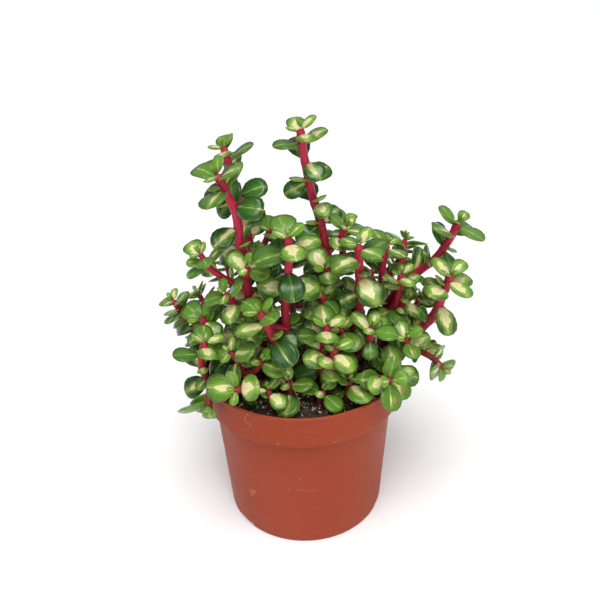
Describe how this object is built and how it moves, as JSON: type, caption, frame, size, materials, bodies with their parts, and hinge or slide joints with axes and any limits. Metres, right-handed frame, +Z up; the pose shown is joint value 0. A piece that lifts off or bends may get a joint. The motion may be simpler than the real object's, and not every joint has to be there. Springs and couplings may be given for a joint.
{
  "type": "potted elephant bush",
  "caption": "Variegated elephant bush with crimson stems and small round succulent leaves, growing in a round plastic nursery pot of potting mix.",
  "frame": {"origin": "centre of the pot's foot, in the plane that the pot stands on", "axes": "+Z up along the pot's axis, -Y towards the open front of the plant, +X to the right seen from the front"},
  "size_m": [0.1877, 0.1437, 0.2412],
  "materials": {
    "pot": "moulded terracotta-coloured plastic, satin, with light scuffs",
    "soil": "dark potting mix of bark and peat with pale grit",
    "leaf": "glossy succulent leaf on a smooth crimson stem, green with a cream stripe and a fine pink edge"
  },
  "bodies": {
    "root": {"pot": "pot", "soil": "soil", "shoot_centre_tall": "leaf", "shoot_left_front": "leaf", "shoot_left_back": "leaf", "shoot_front_centre": "leaf", "shoot_right_centre": "leaf", "shoot_right_mid": "leaf", "shoot_far_right_upper": "leaf", "shoot_far_right_lower": "leaf", "shoot_right_low_side": "leaf", "shoot_front_right_rim": "leaf", "shoot_front_left_rim": "leaf", "shoot_left_low": "leaf", "shoot_left_hanging": "leaf", "shoot_left_mid": "leaf", "shoot_left_far_side": "leaf", "shoot_left_upper_side": "leaf", "shoot_left_centre": "leaf", "shoot_low_centre": "leaf", "shoot_left_inner": "leaf", "shoot_centre_back": "leaf", "shoot_right_back": "leaf", "shoot_right_inner": "leaf", "shoot_soil_left": "leaf", "shoot_soil_right": "leaf", "shoot_front_mid": "leaf", "shoot_left_low_inner": "leaf", "shoot_centre_low_left": "leaf", "shoot_left_mid_high": "leaf", "shoot_centre_mid": "leaf", "shoot_right_low_mid": "leaf", "shoot_right_rim": "leaf", "shoot_right_top_inner": "leaf", "shoot_back_left": "leaf", "shoot_back_centre": "leaf", "shoot_back_right": "leaf", "shoot_back_left_low": "leaf", "shoot_back_rim": "leaf", "shoot_back_right_low": "leaf", "shoot_left_side_low": "leaf", "shoot_back_left_high": "leaf", "shoot_back_centre_high": "leaf", "shoot_back_right_high": "leaf", "shoot_soil_front_left": "leaf", "shoot_soil_centre": "leaf", "shoot_inner_centre": "leaf", "shoot_inner_left": "leaf", "shoot_inner_back_right": "leaf", "shoot_right_front_rim": "leaf", "shoot_inner_right": "leaf", "shoot_back_low": "leaf", "shoot_right_side_mid": "leaf", "shoot_centre_high": "leaf", "shoot_left_back_side": "leaf", "shoot_left_front_mid": "leaf", "shoot_right_centre_low": "leaf", "shoot_centre_left_mid": "leaf", "shoot_left_front_side": "leaf", "shoot_centre_side": "leaf"}
  },
  "joints": []
}
